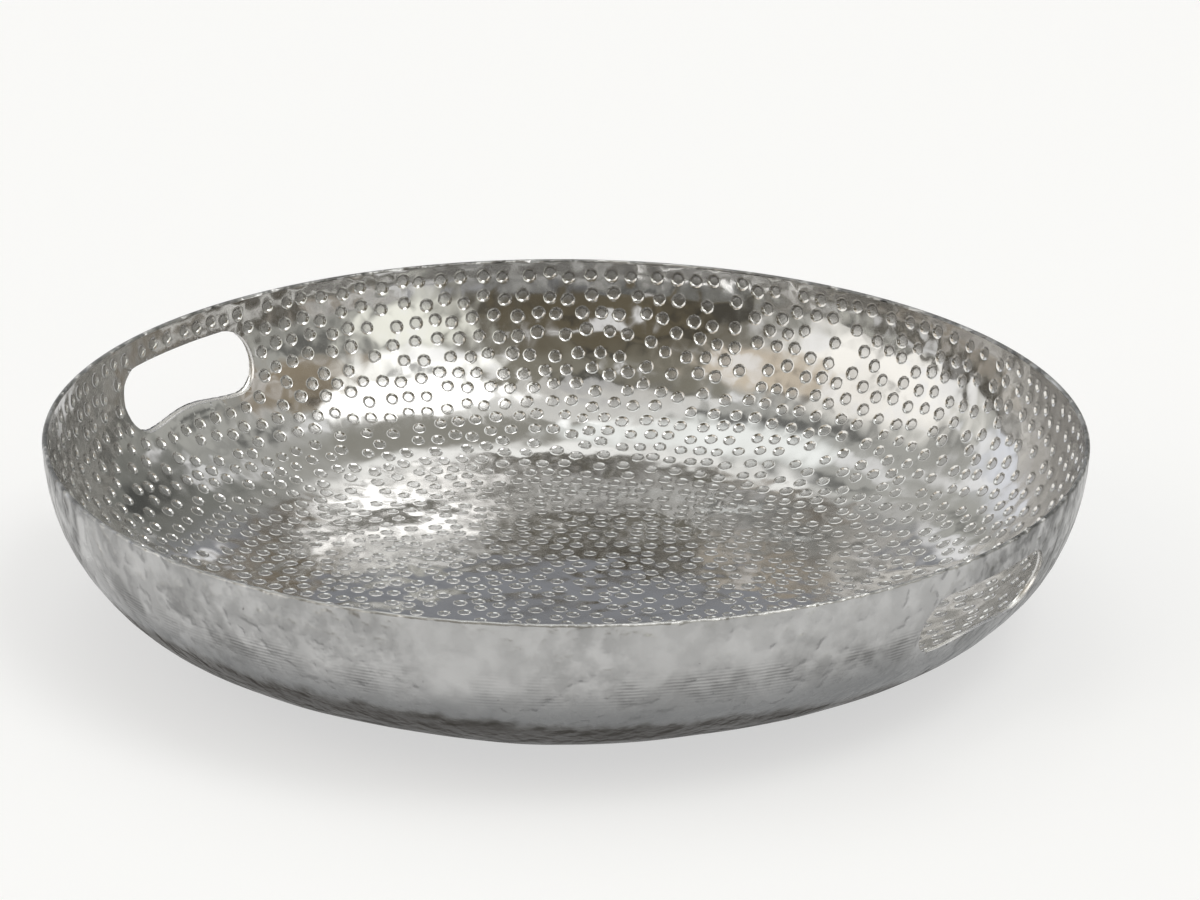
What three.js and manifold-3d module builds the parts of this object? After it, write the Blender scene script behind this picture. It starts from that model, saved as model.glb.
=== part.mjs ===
// Shallow round fruit bowl, formed from one sheet of aluminium that is punched all over on the inside, with two
// hand holes cut through its wall, standing on silicone pads stuck under its flat base.
// Millimetres, +Z up, origin on the table under the middle of the bowl, hand holes at +X and -X.
import * as THREE from "three";
import { mergeVertices } from "three/addons/utils/BufferGeometryUtils.js";
import Module from "manifold-3d";

// Bowl
const RIM_DIAMETER = 380;
const OVERALL_HEIGHT = 70;
const BASE_DIAMETER = 218;
const SHEET_THICKNESS = 2;
const RIM_FLARE_DEGREES = 3.4; // how far the wall still leans outwards at the rim
const SHOULDER_REACH = 42; // how far the wall's curve follows the flat of the base outwards
const WALL_REACH = 47; // how far the wall's curve follows the lean of the rim downwards

// Hand holes
const HOLE_LENGTH = 75;
const HOLE_HEIGHT = 25;
const HOLE_BELOW_RIM = 10;
const HOLE_WAIST = 2; // how far the lower edge rises at the middle of the hole

// Punch marks on the inside, the main ones of a much closer pattern
const MARK_DIAMETER = 5.5;
const MARK_DEPTH = 0.7;
const MARK_SPACING = 22;
const MARK_BELOW_RIM = 6; // along the wall, from the rim to the first row
const MARK_FROM_HOLE = 2; // bare metal between a mark and a hand hole

// Pads under the base
const PAD_DIAMETER = 12;
const PAD_HEIGHT = 2;
const PAD_EDGE_RADIUS = 0.6;
const PAD_INSET = 18; // from the edge of the flat base to the middle of a pad
const PAD_COUNT = 4;

// Steps of the faceted curves
const ROUND_STEPS = 72;
const WALL_STEPS = 12;
const INSIDE_LINE_STEPS = 40;
const MARK_SIDES = 6;
const RIM_STEPS = 4;
const HOLE_STEPS = 8;
const PAD_ROUND_STEPS = 24;
const PAD_EDGE_STEPS = 2;

const WELD_DISTANCE = 1e-3;
const CUT_MARGIN = 10;

const sheetMetal = new THREE.MeshStandardMaterial({ color: 0xc6c4c0, roughness: 0.2, metalness: 1 });
const silicone = new THREE.MeshStandardMaterial({ color: 0xd3d4d2, roughness: 0.45, metalness: 0 });

const wasm = await Module();
wasm.setup();

// A lathe stands on +Y, so it is turned up to +Z.
function revolve(profile, steps) {
  return new THREE.LatheGeometry(profile, steps).rotateX(Math.PI / 2);
}

// Merges seams and poles, drops the triangles that close up on the axis, and gives a solid to cut.
function solidFrom(geometry) {
  const bare = geometry.clone();
  bare.deleteAttribute("normal");
  bare.deleteAttribute("uv");
  const merged = mergeVertices(bare, WELD_DISTANCE);
  const corners = merged.index.array;
  const triVerts = [];
  for (let i = 0; i < corners.length; i += 3) {
    const [a, b, c] = corners.subarray(i, i + 3);
    if (a !== b && b !== c && c !== a) {
      triVerts.push(a, b, c);
    }
  }
  return new wasm.Manifold(
    new wasm.Mesh({
      numProp: 3,
      vertProperties: new Float32Array(merged.attributes.position.array),
      triVerts: new Uint32Array(triVerts),
    }),
  );
}

function geometryFrom(solid) {
  const mesh = solid.getMesh();
  const geometry = new THREE.BufferGeometry();
  geometry.setAttribute("position", new THREE.BufferAttribute(mesh.vertProperties, 3));
  geometry.setIndex(new THREE.BufferAttribute(mesh.triVerts, 1));
  geometry.computeVertexNormals();
  return geometry;
}

// The outside of the wall, from the edge of the flat base up to where the rounded rim starts.
function outerWall() {
  const flare = THREE.MathUtils.degToRad(RIM_FLARE_DEGREES);
  const rimRound = SHEET_THICKNESS / 2;
  const base = new THREE.Vector2(BASE_DIAMETER / 2, PAD_HEIGHT);
  const rim = new THREE.Vector2(RIM_DIAMETER / 2, OVERALL_HEIGHT - rimRound * (1 + Math.sin(flare)));
  const shoulder = new THREE.Vector2(base.x + SHOULDER_REACH, base.y);
  const wall = new THREE.Vector2(rim.x - WALL_REACH * Math.sin(flare), rim.y - WALL_REACH * Math.cos(flare));
  return new THREE.CubicBezierCurve(base, shoulder, wall, rim);
}

// The same wall seen from inside: each point moves in by the thickness of the sheet.
function innerPoint(curve, t) {
  const tangent = curve.getTangent(t);
  const inwards = new THREE.Vector2(-tangent.y, tangent.x);
  return curve.getPoint(t).addScaledVector(inwards, SHEET_THICKNESS);
}

// Full round over the top of the sheet, from the outside to the inside.
function rimRound(curve) {
  const outside = curve.getPoint(1);
  const inside = innerPoint(curve, 1);
  const middle = outside.clone().lerp(inside, 0.5);
  const spoke = outside.clone().sub(middle);
  const points = [];
  for (let i = 1; i < RIM_STEPS; i += 1) {
    points.push(middle.clone().add(spoke.clone().rotateAround(new THREE.Vector2(), (Math.PI * i) / RIM_STEPS)));
  }
  return points;
}

function bowlSection() {
  const curve = outerWall();
  const outside = curve.getPoints(WALL_STEPS);
  const inside = outside.map((_, i) => innerPoint(curve, 1 - i / WALL_STEPS));
  const underneath = new THREE.Vector2(0, PAD_HEIGHT);
  const floor = new THREE.Vector2(0, PAD_HEIGHT + SHEET_THICKNESS);
  return [underneath, ...outside, ...rimRound(curve), ...inside, floor];
}

// Long hole with round ends and a straight top, whose lower edge rises to a waist at the middle.
function handHoleOutline() {
  const endRadius = HOLE_HEIGHT / 2;
  const endMiddle = HOLE_LENGTH / 2 - endRadius;
  const top = OVERALL_HEIGHT - HOLE_BELOW_RIM;
  const bottom = top - HOLE_HEIGHT;
  const waist = bottom + HOLE_WAIST;
  const outline = new THREE.Shape();
  outline.moveTo(-endMiddle, top);
  outline.lineTo(endMiddle, top);
  outline.absarc(endMiddle, top - endRadius, endRadius, Math.PI / 2, -Math.PI / 2, true);
  outline.bezierCurveTo(endMiddle / 2, bottom, endMiddle / 2, waist, 0, waist);
  outline.bezierCurveTo(-endMiddle / 2, waist, -endMiddle / 2, bottom, -endMiddle, bottom);
  outline.absarc(-endMiddle, top - endRadius, endRadius, -Math.PI / 2, -Math.PI * 1.5, true);
  return outline;
}

// One bar of the hole's outline along X, which passes through both sides of the bowl.
function handHoleCutter() {
  const length = RIM_DIAMETER + 2 * CUT_MARGIN;
  const bar = new THREE.ExtrudeGeometry(handHoleOutline(), {
    depth: length,
    bevelEnabled: false,
    curveSegments: HOLE_STEPS,
  });
  const alongY = new THREE.Vector3(0, 1, 0);
  const alongZ = new THREE.Vector3(0, 0, 1);
  const alongX = new THREE.Vector3(1, 0, 0);
  bar.translate(0, 0, -length / 2);
  bar.applyMatrix4(new THREE.Matrix4().makeBasis(alongY, alongZ, alongX));
  return bar;
}

// The inside of the sheet as one line, from the middle of the floor to the rim.
function insideLine() {
  const curve = outerWall();
  const wall = [];
  for (let i = 0; i <= INSIDE_LINE_STEPS; i += 1) {
    wall.push(innerPoint(curve, i / INSIDE_LINE_STEPS));
  }
  const line = new THREE.CurvePath();
  line.add(new THREE.LineCurve(new THREE.Vector2(0, wall[0].y), wall[0]));
  line.add(new THREE.SplineCurve(wall));
  return line;
}

function clearOfHandHoles(point) {
  const endRadius = HOLE_HEIGHT / 2;
  const beside = Math.max(Math.abs(point.y) - (HOLE_LENGTH / 2 - endRadius), 0);
  const beyond = point.z - (OVERALL_HEIGHT - HOLE_BELOW_RIM - endRadius);
  return Math.hypot(beside, beyond) > endRadius + MARK_DIAMETER / 2 + MARK_FROM_HOLE;
}

// Where each mark is struck, as a frame with +Y out of the sheet: staggered rows from the rim to the middle.
function markFrames() {
  const line = insideLine();
  const length = line.getLength();
  const frames = [];
  let row = 0;
  for (let walked = length - MARK_BELOW_RIM; walked > MARK_SPACING / 2; walked -= MARK_SPACING * Math.sqrt(0.75)) {
    const place = line.getPoint(walked / length);
    const tangent = line.getTangent(walked / length);
    const count = Math.max(Math.round((2 * Math.PI * place.x) / MARK_SPACING), 3);
    for (let i = 0; i < count; i += 1) {
      const angle = (2 * Math.PI * (i + (row % 2) / 2)) / count;
      const outwards = new THREE.Vector3(Math.cos(angle), Math.sin(angle), 0);
      const upwards = new THREE.Vector3(0, 0, 1);
      const middle = outwards.clone().multiplyScalar(place.x).addScaledVector(upwards, place.y);
      const along = outwards.clone().multiplyScalar(tangent.x).addScaledVector(upwards, tangent.y);
      const out = outwards.clone().multiplyScalar(-tangent.y).addScaledVector(upwards, tangent.x);
      if (clearOfHandHoles(middle)) {
        frames.push(new THREE.Matrix4().makeBasis(along, out, along.clone().cross(out)).setPosition(middle));
      }
    }
    row += 1;
  }
  return frames;
}

// A blunt cone, which is as wide as a mark where it meets the sheet and goes on as far above it as below.
function punch() {
  const cone = [
    new THREE.Vector2(0, -MARK_DEPTH),
    new THREE.Vector2(MARK_DIAMETER, MARK_DEPTH),
    new THREE.Vector2(0, MARK_DEPTH),
  ];
  return new THREE.LatheGeometry(cone, MARK_SIDES);
}

function makeBowl() {
  const shell = solidFrom(revolve(bowlSection(), ROUND_STEPS));
  const punches = markFrames().map((frame) => solidFrom(punch().applyMatrix4(frame)));
  const cut = shell.subtract(solidFrom(handHoleCutter())).subtract(wasm.Manifold.union(punches));
  const bowl = new THREE.Mesh(geometryFrom(cut), sheetMetal);
  bowl.name = "bowl";
  return bowl;
}

// A pad's flat top sticks to the base, and its rounded lower edge stands on the table.
function padSection() {
  const radius = PAD_DIAMETER / 2;
  const section = [new THREE.Vector2(0, 0)];
  for (let i = 0; i <= PAD_EDGE_STEPS; i += 1) {
    const angle = (Math.PI / 2) * (i / PAD_EDGE_STEPS);
    section.push(
      new THREE.Vector2(
        radius - PAD_EDGE_RADIUS * (1 - Math.sin(angle)),
        PAD_EDGE_RADIUS * (1 - Math.cos(angle)),
      ),
    );
  }
  section.push(new THREE.Vector2(radius, PAD_HEIGHT), new THREE.Vector2(0, PAD_HEIGHT));
  return section;
}

// The pads stand evenly round the base, clear of the two hand-hole sides.
function makePads() {
  const circle = BASE_DIAMETER / 2 - PAD_INSET;
  const pads = [];
  for (let i = 0; i < PAD_COUNT; i += 1) {
    const angle = ((i + 0.5) * 2 * Math.PI) / PAD_COUNT;
    const pad = new THREE.Mesh(revolve(padSection(), PAD_ROUND_STEPS), silicone);
    pad.name = `foot_pad_${i + 1}`;
    pad.position.set(circle * Math.cos(angle), circle * Math.sin(angle), 0);
    pads.push(pad);
  }
  return pads;
}

const fruitBowl = new THREE.Group();
fruitBowl.add(makeBowl(), ...makePads());

export default fruitBowl;
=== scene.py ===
# %% [markdown]
# A hammered fruit bowl. The real one starts as a flat round of aluminium sheet, which is formed into a
# shallow bowl and punched from inside, one small round mark after another. Two hand holes are sawn
# through the wall, and the bowl stands on silicone pads. Its sizes could be typed in again, but the
# plain solids already hold them, so the lesson loads those first and measures them.

# %% Load the plain solids
import math
import random
from bisect import bisect_right
from itertools import product

import bmesh
import bpy
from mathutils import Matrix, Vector, noise
from mathutils.geometry import delaunay_2d_cdt, interpolate_bezier


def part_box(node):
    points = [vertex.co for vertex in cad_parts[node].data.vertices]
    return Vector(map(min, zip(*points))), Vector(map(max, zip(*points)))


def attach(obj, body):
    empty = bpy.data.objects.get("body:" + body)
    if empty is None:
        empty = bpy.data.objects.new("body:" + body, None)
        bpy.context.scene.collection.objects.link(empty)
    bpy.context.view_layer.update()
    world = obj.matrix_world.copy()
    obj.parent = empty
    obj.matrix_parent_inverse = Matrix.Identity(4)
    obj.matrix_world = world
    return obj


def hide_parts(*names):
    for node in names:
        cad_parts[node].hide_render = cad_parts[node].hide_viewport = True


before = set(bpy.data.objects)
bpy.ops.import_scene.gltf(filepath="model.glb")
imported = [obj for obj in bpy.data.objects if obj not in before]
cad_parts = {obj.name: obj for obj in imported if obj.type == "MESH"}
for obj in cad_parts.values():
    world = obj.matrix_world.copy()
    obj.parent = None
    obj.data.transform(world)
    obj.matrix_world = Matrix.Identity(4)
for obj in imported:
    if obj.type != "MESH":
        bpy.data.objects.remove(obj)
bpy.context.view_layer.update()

MM = 0.001
print("solids:", sorted(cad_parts))

# %% [markdown]
# The wall of the bowl is one smooth sweep from the flat base to the rim. It could be traced point by
# point, but a single Bezier curve is smoother and has fewer numbers to get right. Drawing it once gives
# both sides of the sheet: the outside is the curve itself, and the inside is the same curve moved in by
# the thickness of the sheet. Points are written as (radius, height).

# %% Draw the section of the sheet
bowl_low, bowl_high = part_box("bowl")
RIM_RADIUS = bowl_high.x
RIM_TOP = bowl_high.z
BASE_HEIGHT = bowl_low.z
BASE_RADIUS = 109 * MM
SHEET = 2 * MM
RIM_FLARE = math.radians(3.4)
SHOULDER_REACH = 42 * MM
WALL_REACH = 47 * MM
WALL_POINTS = 160

rim_round = SHEET / 2
rim_outside = Vector((RIM_RADIUS, RIM_TOP - rim_round * (1 + math.sin(RIM_FLARE))))
wall_outside = interpolate_bezier(
    Vector((BASE_RADIUS, BASE_HEIGHT)),
    Vector((BASE_RADIUS + SHOULDER_REACH, BASE_HEIGHT)),
    rim_outside - WALL_REACH * Vector((math.sin(RIM_FLARE), math.cos(RIM_FLARE))),
    rim_outside,
    WALL_POINTS,
)


def moved_in(points, distance):
    """The same line of points, moved towards the inside of the bowl."""
    moved = []
    for i, point in enumerate(points):
        before = points[max(i - 1, 0)]
        after = points[min(i + 1, len(points) - 1)]
        along = (after - before).normalized()
        moved.append(point + distance * Vector((-along.y, along.x)))
    return moved


wall_inside = moved_in(wall_outside, SHEET)
print("wall: rim radius %.1f mm, top %.1f mm" % (RIM_RADIUS / MM, RIM_TOP / MM))

# %% [markdown]
# A craftsperson walks the punch over the sheet in rows. A mark's place could be given in x, y and z, but
# then the rows would crowd where the wall climbs. So it is given as a distance walked from the middle of
# the floor, and an angle. These helpers turn such a walk into a point on the inside of the bowl.

# %% Walk along the inside of the sheet
walk_points = [Vector((0, BASE_HEIGHT + SHEET))] + wall_inside
walk_heights = [point.y for point in walk_points]
walk_lengths = [0.0]
for here, there in zip(walk_points, walk_points[1:]):
    walk_lengths.append(walk_lengths[-1] + (there - here).length)
WALK_TO_RIM = walk_lengths[-1]


def section_at(walked):
    """Radius and height of the inside after walking this far from the middle."""
    i = min(max(bisect_right(walk_lengths, walked), 1), len(walk_points) - 1)
    part = (walked - walk_lengths[i - 1]) / (walk_lengths[i] - walk_lengths[i - 1])
    return walk_points[i - 1].lerp(walk_points[i], part)


def walked_to(height):
    """How far along the inside of the wall a height is reached."""
    i = bisect_right(walk_heights, height)
    part = (height - walk_heights[i - 1]) / (walk_heights[i] - walk_heights[i - 1])
    return walk_lengths[i - 1] + part * (walk_lengths[i] - walk_lengths[i - 1])


def inside_point(walked, angle):
    """The point on the inside at a distance walked and an angle."""
    radius, height = section_at(walked)
    return Vector((radius * math.cos(angle), radius * math.sin(angle), height))


print("from the middle to the rim: %.1f mm of sheet" % (WALK_TO_RIM / MM))

# %% [markdown]
# Two hand holes go through the wall on opposite sides, close under the rim. They could be cut now and
# the marks trimmed at them, but a mark that is half sawn away leaves a ragged edge. So they are only
# measured here, and every mark keeps clear of them. The outline is a slot with round ends, and the
# distance to such a slot is simple to work out.

# %% Measure the hand holes
HOLE_LENGTH = 75 * MM
HOLE_HEIGHT = 25 * MM
HOLE_BELOW_RIM = 10 * MM

hole_end = HOLE_HEIGHT / 2
hole_reach = HOLE_LENGTH / 2 - hole_end
hole_middle = RIM_TOP - HOLE_BELOW_RIM - hole_end


def from_hole(point):
    """How far a point of the wall lies outside the nearer hand hole; negative inside it."""
    beside = max(abs(point.y) - hole_reach, 0)
    return math.hypot(beside, point.z - hole_middle) - hole_end


def on_both_sides(across, height):
    """The two places on the inside that lie this far across and up, one at each hand hole."""
    walked = walked_to(height)
    turn = math.asin(across / section_at(walked).x)
    return [(walked, turn), (walked, math.pi + turn)]


print("hand holes: %.0f mm long, middle %.1f mm up" % (HOLE_LENGTH / MM, hole_middle / MM))

# %% [markdown]
# The marks are closest in the middle of the floor and stand a little wider apart up the wall. A table
# could hold the size and spacing of every row, but a rule that knows only the radius is shorter, and
# every later step can ask it.

# %% Size and spacing of the marks
MIDDLE_SPACING = 6.6 * MM
FLOOR_SPACING = 7.6 * MM
WALL_SPACING = 8.5 * MM
FLOOR_ENDS = 140 * MM
WALL_STARTS = 182 * MM
FLOOR_MARK = 2.9 * MM
WALL_MARK = 2.95 * MM


def up_the_wall(radius):
    """0 on the floor, 1 high on the wall."""
    up = min(max((radius - FLOOR_ENDS) / (WALL_STARTS - FLOOR_ENDS), 0), 1)
    return up * up * (3 - 2 * up)


def spacing_at(radius):
    """How far apart the marks stand at this radius."""
    floor = MIDDLE_SPACING + (FLOOR_SPACING - MIDDLE_SPACING) * min(radius / FLOOR_ENDS, 1)
    return floor + (WALL_SPACING - floor) * up_the_wall(radius)


def mark_at(radius):
    """Radius of a mark that stands at this radius of the bowl."""
    return FLOOR_MARK + (WALL_MARK - FLOOR_MARK) * up_the_wall(radius)


print("marks in the middle: %.1f mm apart" % (spacing_at(0) / MM))
print("marks at the rim: %.1f mm apart" % (spacing_at(RIM_RADIUS) / MM))

# %% [markdown]
# One row of marks follows the underside of each hand hole and bends up round its ends. Chance would
# leave uneven gaps along that edge, so this row is measured out in equal steps and set before the rest.

# %% Row of marks under each hand hole
HOLE_MARGIN = 1.0 * MM


def marks_under_holes():
    """Places of the marks along the underside of both hand holes."""
    out = hole_end + HOLE_MARGIN + WALL_MARK
    bend = math.pi / 2 * out
    length = 2 * (bend + hole_reach)
    steps = round(length / WALL_SPACING)
    marks = []
    for k in range(steps + 1):
        along = abs(length * k / steps - length / 2)
        turn = max(along - hole_reach, 0) / out
        across = min(along, hole_reach) + out * math.sin(turn)
        side = 1 if 2 * k > steps else -1
        marks += on_both_sides(side * across, hole_middle - out * math.cos(turn))
    return marks


under_holes = marks_under_holes()
print("marks under the hand holes:", len(under_holes))

# %% [markdown]
# No mark runs into another, because the second blow would flatten the first. Each new mark could be
# compared with all the others, but that is slow with thousands of them. So the marks are sorted into
# cells about as wide as their spacing, and only the cells around a new mark are looked into.

# %% Keep the marks apart
MARK_VARIES = 0.06
WEB = 0.15 * MM
CELL = 8.5 * MM


class Pattern:
    """The marks placed so far, as distance walked and angle."""

    def __init__(self):
        self.marks = []
        self.cells = {}

    def add(self, mark):
        spot = inside_point(*mark)
        self.marks.append(mark)
        self.cells.setdefault(tuple(round(c / CELL) for c in spot), []).append(spot)

    def has_room(self, mark, share=0.0):
        """Whether a mark stays clear of the others and, by a share of the spacing, apart from them."""
        spot = inside_point(*mark)
        radius = math.hypot(spot.x, spot.y)
        across = 2 * mark_at(radius) * (1 + MARK_VARIES) + WEB
        if from_hole(spot) < across / 2:
            return False
        apart = max(across, share * spacing_at(radius))
        middle = [round(c / CELL) for c in spot]
        for step in product((-1, 0, 1), repeat=3):
            cell = tuple(c + s for c, s in zip(middle, step))
            if any((spot - other).length < apart for other in self.cells.get(cell, [])):
                return False
        return True


pattern = Pattern()
for mark in under_holes:
    pattern.add(mark)
print("cells with marks:", len(pattern.cells))

# %% [markdown]
# The other marks lie in staggered rows, and the hand that set them wandered a little. An Array modifier
# would set them too evenly. So the rows are filled from the rim inwards, each at its own spacing, and
# each mark is nudged. A nudge that would bring two marks together, or a mark into a hand hole, is tried
# again. Gaps that are left are filled last. The seed gives the same hand at every run.

# %% Place the punch marks
RIM_BAND = 5.2 * MM
RIM_SLACK = 0.6 * MM
NUDGE = 0.2
TRIES = 14
FILL_TRIES = 9000
FILL_APART = 0.88

hand = random.Random(38)
first_row = WALK_TO_RIM - RIM_BAND


def fill_rows():
    """Sets one row of marks after another, from the rim to the middle."""
    walked = first_row
    while walked > MIDDLE_SPACING:
        radius = section_at(walked).x
        spacing = spacing_at(radius)
        count = max(round(math.tau * radius / spacing), 3)
        start = hand.uniform(0, math.tau)
        for k in range(count):
            for attempt in range(TRIES):
                slack = NUDGE * spacing * (1 - attempt / TRIES)
                angle = start + math.tau * k / count + hand.gauss(0, slack) / radius
                place = walked + hand.gauss(0, RIM_SLACK if walked == first_row else slack)
                mark = (min(place, first_row + RIM_SLACK), angle)
                if pattern.has_room(mark):
                    pattern.add(mark)
                    break
        walked -= spacing * math.sqrt(3) / 2


def fill_gaps():
    """Tries marks anywhere, and keeps those that find room."""
    for _ in range(FILL_TRIES):
        mark = (first_row * math.sqrt(hand.random()), hand.uniform(0, math.tau))
        if pattern.has_room(mark, FILL_APART):
            pattern.add(mark)


fill_rows()
print("marks after the rows:", len(pattern.marks))
fill_gaps()
print("punch marks:", len(pattern.marks))

# %% [markdown]
# The punched side of the sheet is a web of metal between the marks. It could be a fine grid that is
# pushed down at each mark, but a grid fine enough for crisp rims has millions of faces. So it starts as
# a net with a knot at every mark. The net is drawn flat, as the sheet was before it was formed, a
# Delaunay net joins each mark to its true neighbours, and the net is then lifted onto the section. Plain
# knots fill the hand holes, so that the net keeps to the curve of the wall at their edges.

# %% Net of the punched sheet
ROUND_STEPS = 240
PLAIN_SPACING = 5 * MM
PLAIN_INSET = 1.5 * MM
NO_MERGE = 1e-9


def flat(walked, angle):
    """A place on the sheet before it was formed."""
    return Vector((walked * math.cos(angle), walked * math.sin(angle)))


def plain_knots():
    """Places inside the outlines of the hand holes, where nothing is punched."""
    knots = []
    steps_across = round(HOLE_LENGTH / 2 / PLAIN_SPACING)
    steps_up = round(hole_end / PLAIN_SPACING)
    for i in range(-steps_across, steps_across + 1):
        for j in range(-steps_up, steps_up + 1):
            spot = Vector((0, i * PLAIN_SPACING, hole_middle + j * PLAIN_SPACING))
            if from_hole(spot) < -PLAIN_INSET:
                knots += on_both_sides(spot.y, spot.z)
    return knots


def punched_net():
    """The net on the inside of the bowl, and its knots that stand for marks."""
    edge = [(WALK_TO_RIM, math.tau * k / ROUND_STEPS) for k in range(ROUND_STEPS)]
    plain = edge + plain_knots()
    knots = plain + pattern.marks
    border = [(k, (k + 1) % ROUND_STEPS) for k in range(ROUND_STEPS)]
    flat_knots = [flat(*knot) for knot in knots]
    _, _, triangles, *_ = delaunay_2d_cdt(flat_knots, border, [], 0, NO_MERGE)
    net = bmesh.new()
    net.verts.layers.float_vector.new("facing")
    for knot in knots:
        net.verts.new(inside_point(*knot))
    net.verts.ensure_lookup_table()
    for corners in triangles:
        net.faces.new([net.verts[i] for i in corners])
    return net, [net.verts[i] for i in range(len(plain), len(knots))]


sheet, knots = punched_net()
print("net: %d knots, %d triangles" % (len(sheet.verts), len(sheet.faces)))

# %% [markdown]
# Each mark has a round edge. Circles could be cut out of the net one by one, but a vertex bevel opens
# every knot into a small face in one step, and that face is then pulled into a circle. The way the
# smooth bowl faces is noted at each corner for the shading later. Up the wall the sheet gives way under
# the punch, so there the note is turned a little towards the mark, as if the sheet were dragged in.

# %% Open a round mark at every knot
WALL_DRAG = 0.03

walk_sums = [point.x + point.y for point in walk_points]


def inside_facing(point):
    """Which way the smooth inside of the bowl faces at a point on it."""
    radius = math.hypot(point.x, point.y)
    i = bisect_right(walk_sums, radius + point.z)
    i = min(max(i, 1), len(walk_points) - 1)
    along = (walk_points[i] - walk_points[i - 1]).normalized()
    inwards = along.y / max(radius, MM)
    return Vector((-point.x * inwards, -point.y * inwards, along.x))


def open_marks(bm, knots):
    """Opens the knots into faces with twice as many corners as the bevel gives them."""
    opened = bmesh.ops.bevel(
        bm,
        geom=knots,
        offset=FLOOR_MARK,
        offset_type="OFFSET",
        affect="VERTICES",
        segments=1,
        profile=0.5,
        material=-1,
        clamp_overlap=True,
    )
    floors = opened["faces"]
    edges = list(dict.fromkeys(edge for floor in floors for edge in floor.edges))
    bmesh.ops.bisect_edges(bm, edges=edges, cuts=1)
    return floors


def round_marks(bm, floors):
    """Pulls the faces into circles, and returns the middle, radius and climb of each."""
    facing = bm.verts.layers.float_vector["facing"]
    for vert in bm.verts:
        vert[facing] = inside_facing(vert.co)
    rounds = []
    for floor in floors:
        middle = floor.calc_center_median()
        away = math.hypot(middle.x, middle.y)
        up = up_the_wall(away)
        radius = mark_at(away) * (1 + MARK_VARIES * hand.uniform(-1, 1))
        for vert in floor.verts:
            out = (vert.co - middle).normalized()
            vert.co = middle + radius * out
            vert[facing] = (vert[facing] - WALL_DRAG * up * out).normalized()
        rounds.append((middle, radius, up))
    return rounds


floors = open_marks(sheet, knots)
rounds = round_marks(sheet, floors)
sides = [len(floor.verts) for floor in floors]
print("opened: %d marks with %d to %d sides" % (len(sides), min(sides), max(sides)))

# %% [markdown]
# A blunt punch leaves a steep wall and a slightly dished, dull floor. On the floor of the bowl the sheet
# lies on the anvil, so a mark is shallow there and has a crisp raised lip. Up the wall a mark is deeper,
# and its lip is low and soft. A bump map could draw this, but real relief also catches the light at the
# rim of each mark. So every face is inset twice and pulled onto smaller circles, which makes the lip and
# the foot of the steep wall, and the last poke dishes the floor.

# %% Press the marks in
# distance in from the edge and depth, for the lip and for the foot of the wall, in millimetres
FLOOR_PUNCH = [Vector((0.55, -0.20)), Vector((1.10, 0.18))]
WALL_PUNCH = [Vector((0.50, -0.06)), Vector((1.25, 0.72))]
CRISP_BELOW = 0.5
FLOOR_DISH = 0.12 * MM
HAIR = 0.1 * MM
UNNOTED = (0, 0, 0)
INSIDE, PUNCHED, OUTSIDE, SAWN = range(4)


def press_marks(bm, floors, rounds):
    """Gives every round mark its lip, its wall and its dished floor."""
    facing = bm.verts.layers.float_vector["facing"]
    bm.normal_update()
    for low, high in zip(FLOOR_PUNCH, WALL_PUNCH):
        bmesh.ops.inset_individual(bm, faces=floors, thickness=HAIR, use_even_offset=True)
        for floor, (middle, radius, up) in zip(floors, rounds):
            inwards, depth = low.lerp(high, up) * MM
            for vert in floor.verts:
                out = (vert.co - middle).normalized()
                vert.co = middle + (radius - inwards) * out - depth * floor.normal
                vert[facing] = UNNOTED
            # the foot of the wall is sharp everywhere, the lip only on the floor of the bowl
            if up < CRISP_BELOW or low is FLOOR_PUNCH[-1]:
                for edge in floor.edges:
                    edge.smooth = False
    for floor in floors:
        floor.material_index = PUNCHED
    bmesh.ops.poke(bm, faces=floors, offset=-FLOOR_DISH)


press_marks(sheet, floors, rounds)
print("punched side: %d faces" % len(sheet.faces))

# %% [markdown]
# The outside of the sheet and the bare rim are round and smooth. A Solidify modifier could thicken the
# net, but it would print every mark through to the outside. So they are turned: the section goes from
# the middle of the base, up the wall and over the rounded edge, and one full spin makes the skin. It
# ends on the border of the punched net, so merging the doubles closes the sheet.

# %% Spin the outside and the rim
BASE_RINGS = 6
WALL_RINGS = 20
RIM_RINGS = 5
MERGE_WITHIN = 0.01 * MM


def outside_section():
    """Points (radius, height) from the middle of the base to the inside of the rim."""
    base = [Vector((BASE_RADIUS * i / BASE_RINGS, BASE_HEIGHT)) for i in range(BASE_RINGS)]
    step = (WALL_POINTS - 1) / WALL_RINGS
    wall = [wall_outside[round(i * step)] for i in range(WALL_RINGS + 1)]
    middle = (wall_outside[-1] + wall_inside[-1]) / 2
    spoke = wall_outside[-1] - middle
    across = Vector((-spoke.y, spoke.x))
    over = []
    for i in range(1, RIM_RINGS + 1):
        turn = math.pi * i / RIM_RINGS
        over.append(middle + math.cos(turn) * spoke + math.sin(turn) * across)
    return base + wall + over


def spin_outside(bm):
    """Turns the section once round the axis of the bowl."""
    punched = set(bm.faces)
    line = [bm.verts.new((point.x, 0, point.y)) for point in outside_section()]
    edges = [bm.edges.new(pair) for pair in zip(line, line[1:])]
    bmesh.ops.spin(
        bm,
        geom=line + edges,
        axis=(0, 0, 1),
        cent=(0, 0, 0),
        angle=math.tau,
        steps=ROUND_STEPS,
        use_merge=True,
    )
    for face in bm.faces:
        if face not in punched:
            face.material_index = OUTSIDE


def open_edges(bm):
    """How many edges don't lie between two faces."""
    return sum(len(edge.link_faces) != 2 for edge in bm.edges)


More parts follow.
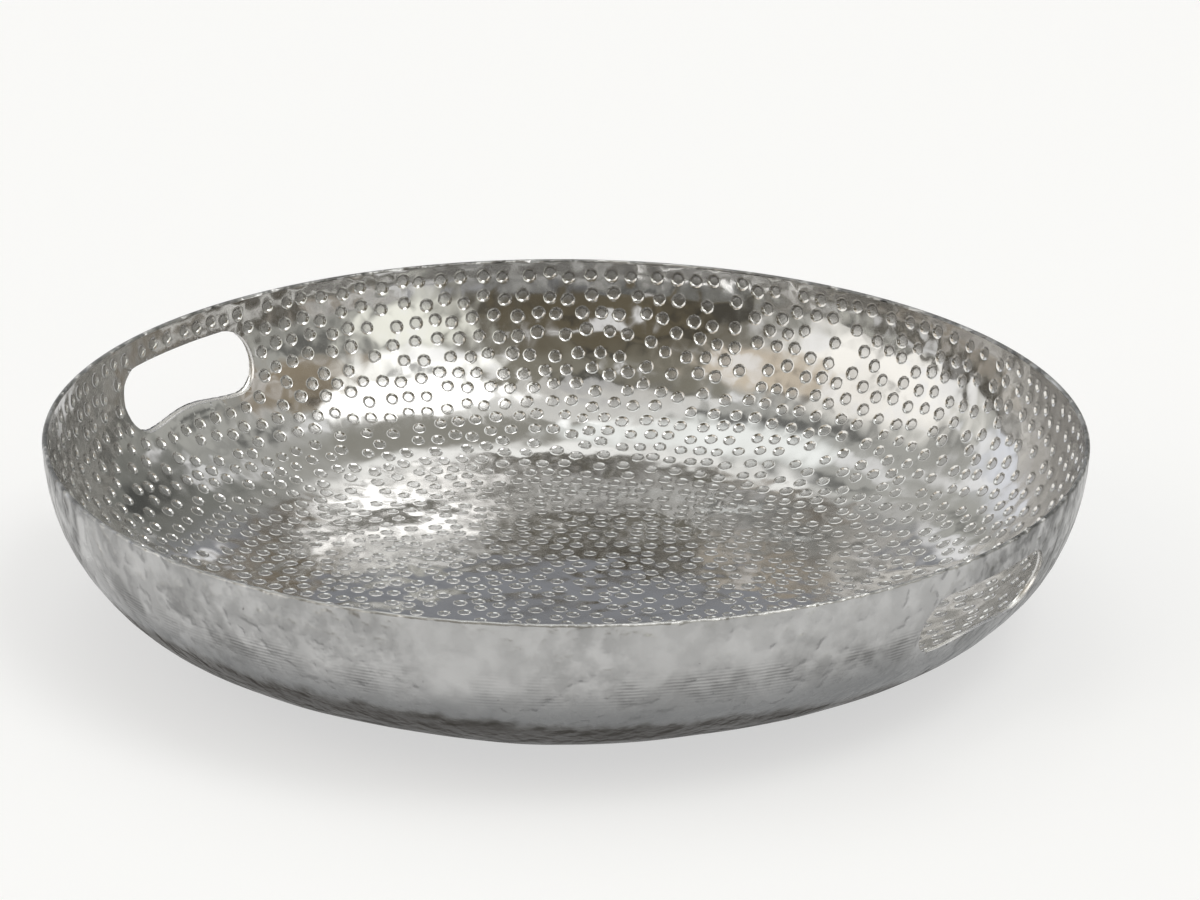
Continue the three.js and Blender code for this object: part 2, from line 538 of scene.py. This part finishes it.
spin_outside(sheet)
bmesh.ops.remove_doubles(sheet, verts=sheet.verts, dist=MERGE_WITHIN)
bmesh.ops.recalc_face_normals(sheet, faces=sheet.faces)
print("sheet: %d faces, open edges %d" % (len(sheet.faces), open_edges(sheet)))

# %% [markdown]
# Hammering leaves no true flat anywhere, and that is what makes reflections swim on a hammered bowl. A
# Displace modifier could do this, but it would also move the edges that have to stay true. So the sheet
# is moved here by slow, smooth noise of three sizes, which fades out at the rim, at the hand holes and
# on the underside.

# %% Let the sheet wander
WANDERS = ((0.9 * MM, 85 * MM), (0.35 * MM, 34 * MM), (0.14 * MM, 15 * MM))
STEADY_NEAR_HOLE = 16 * MM


def let_wander(bm):
    """Moves the sheet along its own thickness by a little noise."""
    for vert in bm.verts:
        above = vert.co.z - BASE_HEIGHT
        rise = min(max(above / (RIM_TOP - BASE_HEIGHT), 0), 1)
        steady = (1 - rise**4) * min(max(above / SHEET, 0), 1)
        steady *= min(max(from_hole(vert.co) / STEADY_NEAR_HOLE, 0), 1)
        outwards = Vector((vert.co.x, vert.co.y, 0)).normalized() * math.sin(rise * math.pi / 2)
        down = Vector((0, 0, -1)) * (1 - rise)
        shift = sum(height * noise.noise(vert.co / size) for height, size in WANDERS)
        vert.co += shift * steady * (outwards + down)


let_wander(sheet)
bmesh.ops.triangulate(sheet, faces=sheet.faces, quad_method="BEAUTY", ngon_method="BEAUTY")
print("sheet before the hand holes: %d triangles" % len(sheet.faces))

# %% [markdown]
# A hand hole is a long slot with round ends, and its lower edge swells up a little in the middle, where
# the fingers go. It could be drawn as a Bezier curve, but the ends are true half circles, so the outline
# is walked round: one end, the swelling lower edge, the other end and the straight upper edge.

# %% Outline of a hand hole
HOLE_WAIST = 2 * MM
END_STEPS = 14
EDGE_STEPS = 12


def hole_outline():
    """Points (across, height) round the hole, as it is seen from the side of the bowl."""

    def on_end(side, turn):
        across = side * hole_reach + hole_end * math.sin(turn)
        return Vector((across, hole_middle + hole_end * math.cos(turn)))

    points = [on_end(1, math.pi * i / END_STEPS) for i in range(END_STEPS + 1)]
    for i in range(1, EDGE_STEPS):
        across = hole_reach * (1 - 2 * i / EDGE_STEPS)
        waist = HOLE_WAIST * (1 + math.cos(math.pi * across / hole_reach)) / 2
        points.append(Vector((across, hole_middle - hole_end + waist)))
    points += [on_end(-1, math.pi * (1 + i / END_STEPS)) for i in range(END_STEPS + 1)]
    for i in range(1, EDGE_STEPS):
        across = hole_reach * (2 * i / EDGE_STEPS - 1)
        points.append(Vector((across, hole_middle + hole_end)))
    return points


hole_line = hole_outline()
print("outline of a hand hole: %d points" % len(hole_line))

# %% [markdown]
# The hand holes are sawn and filed after the forming, so their edges are eased on both faces of the
# sheet. A straight cutter with a bevel afterwards would catch on the marks near the edge. So the cutter
# itself is lofted through the wall: it is narrowest in the middle of the sheet and opens towards both
# faces, and the cut comes out with its edge already eased.

# %% Cutter for the hand holes
# distance through the sheet and growth of the outline, in millimetres
LOFT = [(-8, 6), (-1, 0.45), (-0.55, 0), (0.55, 0), (1, 0.45), (8, 6)]

mid_wall = moved_in(wall_outside, SHEET / 2)


def wall_radius(height):
    """Radius of the middle of the sheet at a height."""
    for low, high in zip(mid_wall, mid_wall[1:]):
        if low.y <= height <= high.y:
            return low.lerp(high, (height - low.y) / (high.y - low.y)).x
    return mid_wall[-1].x


def loft_cutter(bm, side):
    """One closed cutter, through the wall on the side of +X or -X."""
    wider = moved_in(hole_line + hole_line[:1], -MM)[:-1]
    rings = []
    for through, growth in LOFT:
        ring = []
        for point, grown in zip(hole_line, wider):
            across, height = point + (grown - point) * growth
            depth = math.sqrt(wall_radius(point.y) ** 2 - point.x**2) + through * MM
            ring.append(bm.verts.new((side * depth, side * across, height)))
        rings.append([bm.edges.new((ring[i - 1], ring[i])) for i in range(len(ring))])
    for ring, following in zip(rings, rings[1:]):
        bmesh.ops.bridge_loops(bm, edges=ring + following)
    for ring in (rings[0], rings[-1]):
        bmesh.ops.triangle_fill(bm, edges=ring, use_beauty=True)


cutting = bmesh.new()
for side in (1, -1):
    loft_cutter(cutting, side)
bmesh.ops.recalc_face_normals(cutting, faces=cutting.faces)
for face in cutting.faces:
    face.material_index = SAWN
print("cutter: %d faces, open edges %d" % (len(cutting.faces), open_edges(cutting)))

# %% [markdown]
# Finishes are drawn with nodes. They could be wired one node at a time, but a long finish is hard to
# read that way. This small class wraps one socket, so a pattern can be written as a sum of other
# patterns, and its node method makes every other node.

# %% A socket that can be added and multiplied
class Wire:
    """One output socket of a node tree."""

    def __init__(self, tree, socket=None):
        self.tree = tree
        self.socket = socket

    def node(self, kind, settings, inputs, output=0):
        """A new node with its settings first, then its sockets set or linked."""
        made = self.tree.nodes.new(kind)
        for name, value in settings.items():
            setattr(made, name, value)
        for name, value in inputs.items():
            if isinstance(value, Wire):
                self.tree.links.new(value.socket, made.inputs[name])
            else:
                made.inputs[name].default_value = value
        return Wire(self.tree, made.outputs[output])

    def maths(self, operation, first, second):
        return self.node("ShaderNodeMath", {"operation": operation}, {0: first, 1: second})

    def __add__(self, other):
        return self.maths("ADD", self, other)

    def __radd__(self, other):
        return self.maths("ADD", other, self)

    def __sub__(self, other):
        return self.maths("SUBTRACT", self, other)

    def __rsub__(self, other):
        return self.maths("SUBTRACT", other, self)

    def __mul__(self, other):
        return self.maths("MULTIPLY", self, other)

    def __rmul__(self, other):
        return self.maths("MULTIPLY", other, self)

    def between(self, low, high):
        """0 below low, 1 above high, and a smooth climb from one to the other."""
        inputs = {"Value": self, "From Min": low, "From Max": high}
        return self.node("ShaderNodeMapRange", {"interpolation_type": "SMOOTHSTEP"}, inputs)

    def mixed(self, first, second):
        """The first colour where this is 0, and the second where it is 1."""
        inputs = {"Factor": self, 6: first, 7: second}
        return self.node("ShaderNodeMix", {"data_type": "RGBA"}, inputs, 2)

    def along(self, direction):
        """How far this place lies in a direction."""
        inputs = {0: self, 1: direction}
        return self.node("ShaderNodeVectorMath", {"operation": "DOT_PRODUCT"}, inputs, "Value")


# %% [markdown]
# Every finish of the bowl starts in the same way and uses the same few patterns: soft clouds of noise of
# a given size, and small bumps made from them. Painted images could do this too, but noise has no seams
# and needs no unwrapping. It is measured in the object's own coordinates, so it keeps to the metal.

# %% Helpers for finishes
def start_finish(name):
    """A new material with its shader, and a wire to draw patterns from."""
    finish = bpy.data.materials.new(name)
    finish.use_nodes = True
    return finish, finish.node_tree.nodes["Principled BSDF"], Wire(finish.node_tree)


def feed(shader, **inputs):
    """Sets or links the shader's sockets, written with _ for a space."""
    for name, value in inputs.items():
        socket = shader.inputs[name.replace("_", " ")]
        if isinstance(value, Wire):
            value.tree.links.new(value.socket, socket)
        else:
            socket.default_value = value


def place_of(wire):
    """The place on the object, in its own coordinates."""
    return wire.node("ShaderNodeTexCoord", {}, {}, "Object")


def cloud(place, size, detail=2.0):
    """Soft noise from 0 to 1 with patches of about this size."""
    inputs = {"Vector": place, "Scale": 1 / size, "Detail": detail}
    return place.node("ShaderNodeTexNoise", {}, inputs, "Fac")


def bumps(height, distance):
    """A normal that tilts as if the pattern stood this far out of the surface."""
    inputs = {"Height": height, "Distance": distance, "Strength": 1.0}
    return height.node("ShaderNodeBump", {}, inputs, "Normal")


def grey(value, warmth=0.0):
    """A grey, a little redder and less blue if it is warm."""
    return (value * (1 + warmth), value, value * (1 - warmth), 1)


def counted(finish):
    """Prints how many nodes a finish took, and hands it on."""
    print("%s: %d nodes" % (finish.name, len(finish.node_tree.nodes)))
    return finish


# %% [markdown]
# Inside, the metal is polished after the punching, so the raised net between the marks is close to a
# mirror. One even roughness would look like chrome. Here the roughness wanders, and the sheet swells
# between one mark and the next, which breaks up what is reflected.

# %% Polished inside
def polished_inside():
    finish, shader, wire = start_finish("polished_inside")
    place = place_of(wire)
    swell = cloud(place, 14 * MM, 1.0) + 1.6 * cloud(place, 40 * MM, 0.0)
    stain = cloud(place, 38 * MM, 3.0).between(0.35, 0.7)
    scuff = cloud(place, 2.2 * MM, 3.0).between(0.5, 0.75)
    feed(
        shader,
        Base_Color=stain.mixed(grey(0.57, 0.006), grey(0.49, 0.015)),
        Metallic=1.0,
        Roughness=0.07 + 0.07 * stain + 0.05 * scuff,
        Normal=bumps(swell, 0.62 * MM),
    )
    return finish


sheet_finishes = [counted(polished_inside())]

# %% [markdown]
# The polishing wheel does not reach the floor of a mark, which keeps the dull, even grey that the end of
# the punch pressed into it. A mask could darken the polish there, but the floors are faces of their own,
# so they simply get a finish of their own.

# %% Floor of a punch mark
def punched_floor():
    finish, shader, wire = start_finish("punched_floor")
    place = place_of(wire)
    grit = cloud(place, 0.8 * MM, 2.0)
    stain = cloud(place, 12 * MM).between(0.35, 0.65)
    feed(
        shader,
        Base_Color=stain.mixed(grey(0.48, 0.006), grey(0.40, 0.015)),
        Metallic=1.0,
        Roughness=0.19 + 0.10 * grit,
        Normal=bumps(grit, 0.05 * MM),
    )
    return finish


sheet_finishes.append(counted(punched_floor()))

# %% [markdown]
# Outside, the wall has only a satin finish from the brush. It shows the backs of the marks as soft
# swellings, groups of fine level lines where the forming tool chattered, and a few small dark pits. One
# side is smoother.
# Towards the bottom the colour is painted darker, and along the bottom edge nearly black and not
# metallic. This
# is painted shade and painted reflection: it stands for a dark surface and the shadow under the bowl,
# seen in the lower wall. All of this is shallow, so it is drawn as patterns that are laid over one
# another, and not modelled.

# %% Satin outside
LINE_PITCH = 1.4 * MM
# a Wave texture turns through so many radians in one unit of its scale
WAVE_TURN = 20
LINES_START = (33 * MM, 38 * MM)
LINES_STOP = (45 * MM, 52 * MM)
SMOOTH_SIDE = (0.57, -0.82, 0)
SMOOTH_REACH = (95 * MM, 172 * MM)
# painted shade: over this range of height the satin is painted darker towards the bottom, for a dark
# surface reflected in the lower wall
PAINTED_SHADE_REACH = (34 * MM, 54 * MM)
PAINTED_SHADE_GREY = (0.25, 0.255, 0.26, 1)
# painted shade: below about this height the colour is painted nearly black and not metallic, for the
# shadow and dark reflection at the bottom edge
DARK_BAND_ENDS = 33 * MM
DARK_BAND_FADES = 3 * MM
DARK_BAND_WAVERS = 12 * MM
DARK_BAND_LEANS = (0.030, 0.022, 0)


def chatter_lines(place, height):
    """Groups of level lines in a band round the wall."""
    inputs = {"Vector": place, "Scale": math.tau / (WAVE_TURN * LINE_PITCH), "Distortion": 1.2}
    line = place.node("ShaderNodeTexWave", {"bands_direction": "Z"}, inputs, "Fac")
    band = height.between(*LINES_START) * (1 - height.between(*LINES_STOP))
    return line * cloud(place, 20 * MM, 3.0).between(0.42, 0.66) * band


def satin_outside():
    finish, shader, wire = start_finish("satin_outside")
    place = place_of(wire)
    height = place.node("ShaderNodeSeparateXYZ", {}, {"Vector": place}, "Z")
    rough_side = 1.0 - 0.6 * place.along(SMOOTH_SIDE).between(*SMOOTH_REACH)
    blotch = cloud(place, 26 * MM, 4.0).between(0.3, 0.72)
    mottle = cloud(place, 6 * MM, 2.0).between(0.35, 0.65)
    mottle = mottle * cloud(place, 50 * MM, 1.0).between(0.3, 0.6)
    grain = cloud(place, 0.7 * MM, 2.0)
    pit = cloud(place, 3.4 * MM, 0.0).between(0.86, 0.92)
    lines = chatter_lines(place, height)
    dent = cloud(place, 9 * MM, 1.5).between(0.38, 0.62) * rough_side
    # tone that differs at random, partly painted reflection: blotches, mottle and dents are painted
    # lighter and darker for the light and dark that the bumps would reflect; the chatter lines are the
    # metal's own
    uneven_and_painted_sheen = rough_side * (0.50 * blotch + 0.70 * mottle) + 0.40 * dent + 0.5 * lines
    satin = uneven_and_painted_sheen.mixed(grey(0.55, 0.002), grey(0.20, 0.004))
    waver = (0.7 * cloud(place, 15 * MM, 3.0) + 0.45 * cloud(place, 6 * MM, 1.0)) * DARK_BAND_WAVERS
    # painted shade: the satin colour grows darker towards the bottom
    painted_shade_below = (height + waver).between(*PAINTED_SHADE_REACH).mixed(PAINTED_SHADE_GREY, satin)
    # painted shade: a nearly black band, not metallic, along the bottom edge
    above_dark_band = height + waver + place.along(DARK_BAND_LEANS)
    above_dark_band = above_dark_band.between(DARK_BAND_ENDS - DARK_BAND_FADES, DARK_BAND_ENDS + DARK_BAND_FADES)
    with_painted_dark_band = above_dark_band.mixed(grey(0.05, 0.08), painted_shade_below)
    feed(
        shader,
        Base_Color=pit.mixed(with_painted_dark_band, grey(0.2, 0.02)),
        Metallic=above_dark_band,
        Specular_IOR_Level=0.15,
        Roughness=0.28 + 0.12 * blotch + 0.06 * grain,
        Normal=bumps(mottle + 2.8 * dent + 0.08 * grain - 0.10 * lines, 0.5 * MM),
    )
    return finish


sheet_finishes.append(counted(satin_outside()))

# %% [markdown]
# The sawn and filed edge of a hand hole is bare bright metal with fine file strokes across it. The edge
# is narrow, so fine noise is enough to stand for the strokes.

# %% Filed edge
def filed_edge():
    finish, shader, wire = start_finish("filed_edge")
    place = place_of(wire)
    stroke = cloud(place, 0.9 * MM, 3.0)
    feed(
        shader,
        Base_Color=stroke.between(0.3, 0.7).mixed(grey(0.78, 0.01), grey(0.68, 0.02)),
        Metallic=1.0,
        Roughness=0.22 + 0.12 * stroke,
        Normal=bumps(stroke, 0.05 * MM),
    )
    return finish


sheet_finishes.append(counted(filed_edge()))

# %% [markdown]
# The hand holes are openings in one sheet. Faces could be deleted there, but that would leave the sheet
# open between its two sides. A Boolean takes the cutter out of the sheet instead, closes the edge and
# gives it the cutter's finish. Weighted normals then let the large faces lead the shading. The result is
# kept as a plain mesh, so the cutter can go.

# %% Cut the hand holes
NORMAL_WEIGHT = 50


def new_object(name, bm):
    """Puts a finished bmesh into the scene."""
    mesh = bpy.data.meshes.new(name)
    bm.to_mesh(mesh)
    bm.free()
    made = bpy.data.objects.new(name, mesh)
    bpy.context.scene.collection.objects.link(made)
    return made


def smooth(made):
    """Shades every face smooth; edges that were marked sharp stay sharp."""
    for face in made.data.polygons:
        face.use_smooth = True


bowl = new_object("hammered_bowl", sheet)
for finish in sheet_finishes:
    bowl.data.materials.append(finish)
cutter = new_object("hole_cutter", cutting)
smooth(bowl)
smooth(cutter)
cut = bowl.modifiers.new("hand_holes", "BOOLEAN")
cut.operation = "DIFFERENCE"
cut.solver = "EXACT"
cut.object = cutter
shading = bowl.modifiers.new("shading", "WEIGHTED_NORMAL")
shading.mode = "FACE_AREA"
shading.weight = NORMAL_WEIGHT
shading.keep_sharp = True
evaluated = bowl.evaluated_get(bpy.context.evaluated_depsgraph_get())
finished = bpy.data.meshes.new_from_object(evaluated)
bowl.modifiers.clear()
bowl.data = finished
bpy.data.objects.remove(cutter)
bowl.data.calc_loop_triangles()
print("bowl: %d triangles" % len(bowl.data.loop_triangles))

# %% [markdown]
# The polished net between the marks follows the smooth bowl. It is made of flat pieces, though, which
# would show as facets in polished metal, and smaller pieces would cost a great many triangles. So every
# corner of the net that kept its level is given the normal of the smooth bowl, which was noted when the
# marks were opened, and only the marks themselves turn the light.

# %% Level the net between the marks
NOTED_LENGTH = 0.9


def level_net(mesh):
    """Sets the noted normals, and returns how many corners have one."""
    facing = mesh.attributes["facing"].data
    normals = [corner.vector.copy() for corner in mesh.corner_normals]
    levelled = 0
    for face in mesh.polygons:
        if face.material_index == INSIDE:
            for corner in face.loop_indices:
                noted = facing[mesh.loops[corner].vertex_index].vector
                if noted.length > NOTED_LENGTH:
                    normals[corner] = noted.copy()
                    levelled += 1
    mesh.normals_split_custom_set(normals)
    return levelled


print("corners levelled:", level_net(finished))
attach(bowl, "root")
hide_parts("bowl")

# %% [markdown]
# The pads are moulded from milky silicone, which scatters light a little under its surface. At their
# size that can't be told from a pale, soft sheen, so a plain shader with a faint haze stands for it.

# %% Milky silicone
def milky_silicone():
    finish, shader, wire = start_finish("milky_silicone")
    haze = cloud(place_of(wire), 3 * MM, 3.0)
    feed(
        shader,
        Base_Color=haze.between(0.3, 0.7).mixed(grey(0.70, 0.0), grey(0.60, 0.01)),
        Roughness=0.36 + 0.14 * haze,
        Normal=bumps(haze, 0.04 * MM),
    )
    return finish


silicone = counted(milky_silicone())

# %% [markdown]
# Each pad is a small disc with a rounded foot, stuck under the base. It could be spun from a section, but
# it takes fewer steps to fill a circle, extrude it up to the base and bevel its lower edge.

# %% Mould the pads
PAD_SIDES = 40
PAD_ROUND = 0.6 * MM
ROUND_SEGMENTS = 4


def mould_pad(name):
    """One pad in the place of its plain solid."""
    low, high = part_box(name)
    bm = bmesh.new()
    bmesh.ops.create_circle(bm, cap_ends=True, segments=PAD_SIDES, radius=(high.x - low.x) / 2)
    foot = list(bm.edges)
    raised = bmesh.ops.extrude_face_region(bm, geom=list(bm.faces))
    top = [v for v in raised["geom"] if isinstance(v, bmesh.types.BMVert)]
    bmesh.ops.translate(bm, verts=top, vec=(0, 0, high.z - low.z))
    bmesh.ops.bevel(
        bm,
        geom=foot,
        offset=PAD_ROUND,
        affect="EDGES",
        segments=ROUND_SEGMENTS,
        profile=0.5,
        material=-1,
    )
    middle = ((low.x + high.x) / 2, (low.y + high.y) / 2, low.z)
    bmesh.ops.translate(bm, verts=bm.verts, vec=middle)
    bmesh.ops.recalc_face_normals(bm, faces=bm.faces)
    pad = new_object("pad_of_" + name, bm)
    pad.data.materials.append(silicone)
    for face in pad.data.polygons:
        face.use_smooth = len(face.vertices) == 4
    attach(pad, "root")
    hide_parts(name)
    return pad


pads = [mould_pad(name) for name in sorted(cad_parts) if name.startswith("foot_pad")]
print("pads:", [pad.name for pad in pads])

# %% [markdown]
# The bowl stands on a plain pale sheet of card, large enough to fill the picture. Stronger lamps could
# make the card white, but they would bleach the metal too. So where the camera or the metal looks at the
# card, a part of its colour comes from plain white, and the rest keeps the shadow of the bowl.

# %% Floor
FLOOR_SIZE = 3.0
FLOOR_WHITE = 0.6


def pale_card():
    finish, shader, wire = start_finish("pale_card")
    feed(shader, Base_Color=grey(0.93), Roughness=0.9, Specular_IOR_Level=0.0)
    ways = ("Is Camera Ray", "Is Glossy Ray", "Is Transmission Ray")
    camera, glossy, through = [wire.node("ShaderNodeLightPath", {}, {}, way) for way in ways]
    white = wire.node("ShaderNodeEmission", {}, {"Color": grey(1.0), "Strength": 1.0})
    card = Wire(wire.tree, shader.outputs["BSDF"])
    seen = (camera + glossy + through).between(0.0, 1.0)
    mix = wire.node("ShaderNodeMixShader", {}, {"Fac": FLOOR_WHITE * seen, 1: card, 2: white})
    wire.tree.links.new(mix.socket, wire.tree.nodes["Material Output"].inputs["Surface"])
    return finish


def lay_floor():
    """One large square under the bowl, which belongs to the studio."""
    bm = bmesh.new()
    bmesh.ops.create_grid(bm, x_segments=1, y_segments=1, size=FLOOR_SIZE)
    floor = new_object("floor", bm)
    floor.data.materials.append(counted(pale_card()))


lay_floor()
print("floor: %.1f m wide" % (2 * FLOOR_SIZE))

# %% [markdown]
# Polished metal shows nothing but its surroundings, so the studio needs something to be seen in it. A
# picture of a room could be wrapped round the scene, but a few soft shapes are easier to move about.
# Round patches, soft at the edge, stand for the bright and dark sides of the room. A plain part of the
# ceiling and three high windows are listed apart, because they come last, where no clutter hangs before
# them.

# %% Patches of the room
BEHIND_CAMERA = -52.8
# bearing from behind the camera, elevation, inner and outer radius, all in degrees, and the colour
PATCHES = [
    (-5, 58, 16, 34, (0.34, 0.32, 0.26, 1)),
    (-10, 12, 20, 46, (0.19, 0.162, 0.11, 1)),
    (-82, 24, 12, 36, (1.7, 1.66, 1.56, 1)),
    (-57, 40, 8, 20, (0.98, 0.86, 0.69, 1)),
    (75, 38, 10, 20, (0.44, 0.37, 0.27, 1)),
    (38, 18, 6, 20, (1.5, 1.5, 1.35, 1)),
    (45, 48, 5, 20, (2.2, 2.2, 2.1, 1)),
    (-135, 10, 5, 22, (1.2, 1.23, 1.3, 1)),
    (145, 25, 14, 26, (0.30, 0.305, 0.28, 1)),
    (180, 22, 10, 24, (0.345, 0.355, 0.38, 1)),
]
CLEAR_PATCHES = [
    (165, 72, 12, 26, (0.44, 0.43, 0.38, 1)),
    (-150, 66, 8, 16, (1.5, 1.54, 1.5, 1)),
    (68, 65, 9, 17, (4.4, 4.4, 4.3, 1)),
    (180, 49, 7, 14, (1.5, 1.5, 1.45, 1)),
]


def patch(towards, bearing, elevation, inner, outer):
    """1 where the view goes into a round patch of the room, and 0 outside it."""
    bearing, elevation = math.radians(bearing), math.radians(elevation)
    level = math.cos(elevation)
    aim = (math.cos(bearing) * level, math.sin(bearing) * level, math.sin(elevation))
    return towards.along(aim).between(math.cos(math.radians(outer)), math.cos(math.radians(inner)))


def hung_with(light, towards, patches):
    """The light of the room with these patches hung in it, one over the other."""
    for turn, elevation, inner, outer, colour in patches:
        there = patch(towards, BEHIND_CAMERA + turn, elevation, inner, outer)
        light = there.mixed(light, colour)
    return light


print("patches: %d behind the clutter, %d before it" % (len(PATCHES), len(CLEAR_PATCHES)))

# %% [markdown]
# The room itself has quiet grey walls under a paler ceiling, and a little noise stands for its clutter.
# It could be modelled with walls and lamps, but as the world of the scene it needs no mesh at all, and
# it stays equally far from every side of the bowl. The patches are mixed one over the other, as paint
# is.

# %% Room
CEILING = (0.64, 0.64, 0.60, 1)
WALLS = (0.60, 0.60, 0.55, 1)
OVERHEAD = (0, 90, 5, 85)
CLUTTER = 0.7
CLUTTER_SIZE = 0.28
DARK_CLUTTER = (0.52, 0.66)
BRIGHT_CLUTTER = (0.34, 0.45)


def furnish_room():
    world = bpy.data.worlds.new("room")
    bpy.context.scene.world = world
    world.use_nodes = True
    towards = Wire(world.node_tree).node("ShaderNodeTexCoord", {}, {}, "Generated")
    light = patch(towards, *OVERHEAD).mixed(WALLS, CEILING)
    light = hung_with(light, towards, PATCHES)
    clutter = cloud(towards, CLUTTER_SIZE, 3.0)
    light = (CLUTTER * clutter.between(*DARK_CLUTTER)).mixed(light, grey(0.04))
    light = (CLUTTER * (1 - clutter.between(*BRIGHT_CLUTTER))).mixed(light, grey(1.5))
    light = hung_with(light, towards, CLEAR_PATCHES)
    background = world.node_tree.nodes["Background"]
    world.node_tree.links.new(light.socket, background.inputs["Color"])
    return world


counted(furnish_room())

# %% [markdown]
# The room lights the bowl from all sides, which leaves it floating. One softbox straight overhead gives
# the soft shadow that sets it on the table. A sun lamp would draw that shadow too hard.

# %% Lamp
LAMP_HEIGHT = 1.7
LAMP_SIZE = 0.9
LAMP_POWER = 1.5


def hang_lamp():
    """A square softbox over the bowl; an area lamp shines down unless it is turned."""
    lamp = bpy.data.lights.new("softbox_above", "AREA")
    lamp.shape = "SQUARE"
    lamp.size = LAMP_SIZE
    lamp.energy = LAMP_POWER
    made = bpy.data.objects.new("softbox_above", lamp)
    made.location = (0, 0, LAMP_HEIGHT)
    bpy.context.scene.collection.objects.link(made)


hang_lamp()
print("softbox: %.1f m wide, %.1f m up" % (LAMP_SIZE, LAMP_HEIGHT))

# %% [markdown]
# The camera stands well back with a long lens, a little above the table and turned so that one hand hole
# is near on the right and the other far on the left. It is a touch out of level, as a camera held by
# hand is. A constraint could aim it, but here it is worked out from the pixel where the middle of the
# bowl should come, so that the bowl keeps its place in the picture.

# %% Camera
IMAGE_WIDTH, IMAGE_HEIGHT = 1200, 900
FOCAL_PIXELS = 6500
SENSOR_WIDTH = 36
CAMERA_DISTANCE = 2.375
CAMERA_ELEVATION = math.radians(21.22)
CAMERA_AZIMUTH = math.radians(37.2)
CAMERA_ROLL = math.radians(0.46)
BOWL_MIDDLE = Vector((0, 0, 35 * MM))
MIDDLE_PIXEL = (566.2, 518.1)


def set_camera():
    lens = bpy.data.cameras.new("camera")
    lens.sensor_width = SENSOR_WIDTH
    lens.lens = FOCAL_PIXELS / IMAGE_WIDTH * SENSOR_WIDTH
    camera = bpy.data.objects.new("camera", lens)
    level = math.cos(CAMERA_ELEVATION)
    east = math.sin(CAMERA_AZIMUTH) * level
    south = math.cos(CAMERA_AZIMUTH) * level
    back = Vector((east, -south, math.sin(CAMERA_ELEVATION)))
    turn = (-back).to_track_quat("-Z", "Y")
    pixel = CAMERA_DISTANCE / FOCAL_PIXELS
    right = (IMAGE_WIDTH / 2 - MIDDLE_PIXEL[0]) * pixel
    rise = (MIDDLE_PIXEL[1] - IMAGE_HEIGHT / 2) * pixel
    aim = BOWL_MIDDLE + turn @ Vector((right, rise, 0))
    camera.location = BOWL_MIDDLE + CAMERA_DISTANCE * back
    camera.rotation_euler = (aim - camera.location).to_track_quat("-Z", "Y").to_euler()
    camera.rotation_euler.rotate_axis("Z", CAMERA_ROLL)
    bpy.context.scene.collection.objects.link(camera)
    bpy.context.scene.camera = camera
    return camera


camera = set_camera()
bpy.context.scene.view_settings.view_transform = "Standard"
print("camera: lens %.0f mm, %.2f m up" % (camera.data.lens, camera.location.z))
